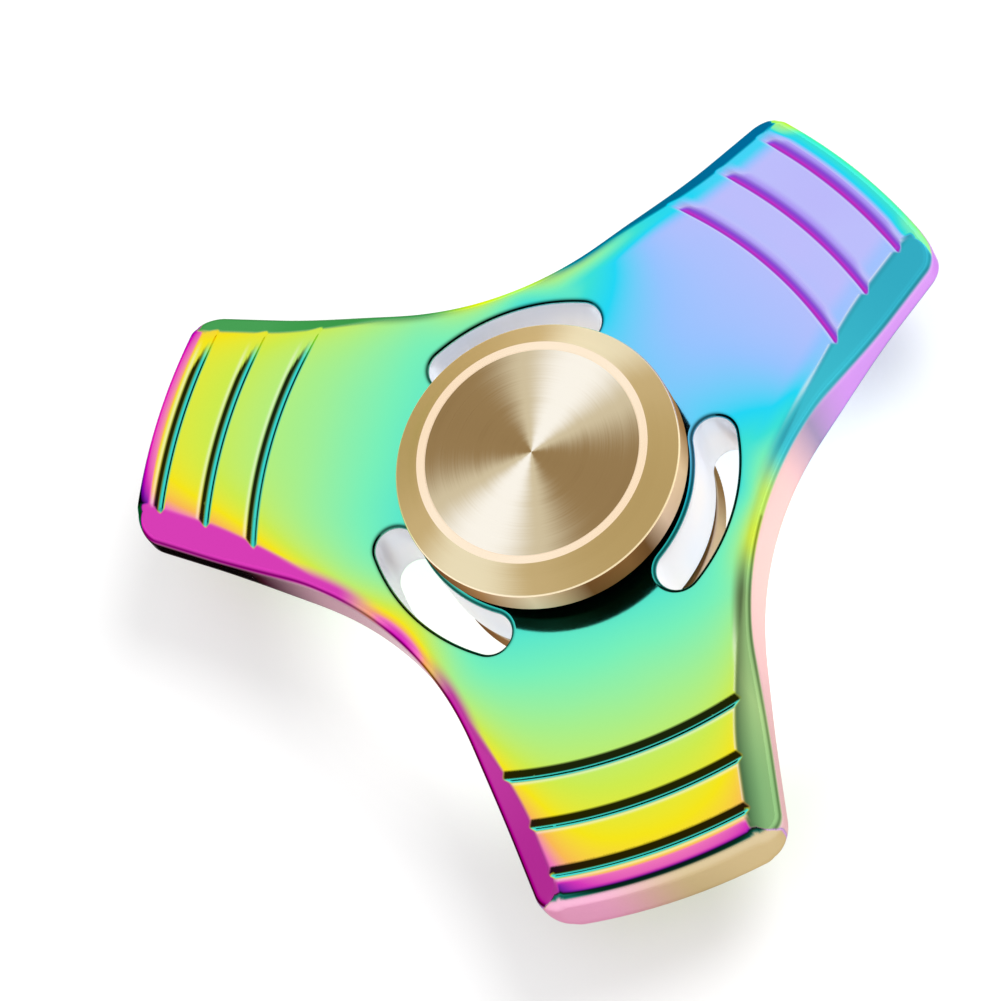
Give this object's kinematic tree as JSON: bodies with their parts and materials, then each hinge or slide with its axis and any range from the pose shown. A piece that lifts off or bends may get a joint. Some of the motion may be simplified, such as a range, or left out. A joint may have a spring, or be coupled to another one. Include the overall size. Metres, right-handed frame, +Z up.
{
  "type": "fidget spinner",
  "caption": "Flat metal hand spinner: grooved, chamfered arms turn about a ball bearing held between round finger caps.",
  "frame": {"origin": "centre of the bottom finger cap's flat outer face, on the spin axis, where the spinner rests", "axes": "+Z up along the spin axis towards the top finger cap, one arm along +Y"},
  "size_m": [0.0586, 0.0519, 0.0157],
  "materials": {
    "rainbow_coating": "mirror-polished die-cast zinc alloy with an iridescent thin-film coating, from lilac through cyan, green and yellow to magenta",
    "gold_cap": "turned and gold-anodised, fine concentric brushing on the disc, satin on the bevel and the wall",
    "bearing_steel": "ground and polished bearing steel",
    "shield_steel": "pressed stainless sheet, satin",
    "spring_steel": "bright drawn spring wire",
    "cage_brass": "machined brass, oiled"
  },
  "bodies": {
    "hub": {"top_cap": "gold_cap", "bottom_cap": "gold_cap", "bearing_inner_ring": "bearing_steel"},
    "rotor": {"spinner_body": "rainbow_coating", "bearing_outer_ring": "bearing_steel", "bearing_shield_top": "shield_steel", "bearing_shield_bottom": "shield_steel", "snap_ring_top": "spring_steel", "snap_ring_bottom": "spring_steel"},
    "cage": {"ball_cage": "cage_brass"},
    "ball_01_body": {"ball_01": "bearing_steel"},
    "ball_02_body": {"ball_02": "bearing_steel"},
    "ball_03_body": {"ball_03": "bearing_steel"},
    "ball_04_body": {"ball_04": "bearing_steel"},
    "ball_05_body": {"ball_05": "bearing_steel"},
    "ball_06_body": {"ball_06": "bearing_steel"},
    "ball_07_body": {"ball_07": "bearing_steel"},
    "ball_08_body": {"ball_08": "bearing_steel"},
    "ball_09_body": {"ball_09": "bearing_steel"},
    "ball_10_body": {"ball_10": "bearing_steel"}
  },
  "joints": [
    {"name": "rotor_spin", "type": "hinge", "parent": "hub", "child": "rotor", "pos_m": [0, 0, 0.00785], "axis": [0, 0, 1], "continuous": true},
    {"name": "cage_spin", "type": "hinge", "parent": "hub", "child": "cage", "pos_m": [0, 0, 0.00785], "axis": [0, 0, 1], "continuous": true},
    {"name": "ball_01_roll", "type": "hinge", "parent": "cage", "child": "ball_01_body", "pos_m": [0, 0.00476, 0.00785], "axis": [0, 0, 1], "continuous": true},
    {"name": "ball_02_roll", "type": "hinge", "parent": "cage", "child": "ball_02_body", "pos_m": [-0.0028, 0.00385, 0.00785], "axis": [0, 0, 1], "continuous": true},
    {"name": "ball_03_roll", "type": "hinge", "parent": "cage", "child": "ball_03_body", "pos_m": [-0.00453, 0.00147, 0.00785], "axis": [0, 0, 1], "continuous": true},
    {"name": "ball_04_roll", "type": "hinge", "parent": "cage", "child": "ball_04_body", "pos_m": [-0.00453, -0.00147, 0.00785], "axis": [0, 0, 1], "continuous": true},
    {"name": "ball_05_roll", "type": "hinge", "parent": "cage", "child": "ball_05_body", "pos_m": [-0.0028, -0.00385, 0.00785], "axis": [0, 0, 1], "continuous": true},
    {"name": "ball_06_roll", "type": "hinge", "parent": "cage", "child": "ball_06_body", "pos_m": [0, -0.00476, 0.00785], "axis": [0, 0, 1], "continuous": true},
    {"name": "ball_07_roll", "type": "hinge", "parent": "cage", "child": "ball_07_body", "pos_m": [0.0028, -0.00385, 0.00785], "axis": [0, 0, 1], "continuous": true},
    {"name": "ball_08_roll", "type": "hinge", "parent": "cage", "child": "ball_08_body", "pos_m": [0.00453, -0.00147, 0.00785], "axis": [0, 0, 1], "continuous": true},
    {"name": "ball_09_roll", "type": "hinge", "parent": "cage", "child": "ball_09_body", "pos_m": [0.00453, 0.00147, 0.00785], "axis": [0, 0, 1], "continuous": true},
    {"name": "ball_10_roll", "type": "hinge", "parent": "cage", "child": "ball_10_body", "pos_m": [0.0028, 0.00385, 0.00785], "axis": [0, 0, 1], "continuous": true}
  ],
  "couplings": [
    {"joint": "cage_spin", "follows": "rotor_spin", "ratio": 0.5834},
    {"joint": "ball_01_roll", "follows": "rotor_spin", "ratio": 2.9157},
    {"joint": "ball_02_roll", "follows": "rotor_spin", "ratio": 2.9157},
    {"joint": "ball_03_roll", "follows": "rotor_spin", "ratio": 2.9157},
    {"joint": "ball_04_roll", "follows": "rotor_spin", "ratio": 2.9157},
    {"joint": "ball_05_roll", "follows": "rotor_spin", "ratio": 2.9157},
    {"joint": "ball_06_roll", "follows": "rotor_spin", "ratio": 2.9157},
    {"joint": "ball_07_roll", "follows": "rotor_spin", "ratio": 2.9157},
    {"joint": "ball_08_roll", "follows": "rotor_spin", "ratio": 2.9157},
    {"joint": "ball_09_roll", "follows": "rotor_spin", "ratio": 2.9157},
    {"joint": "ball_10_roll", "follows": "rotor_spin", "ratio": 2.9157}
  ]
}
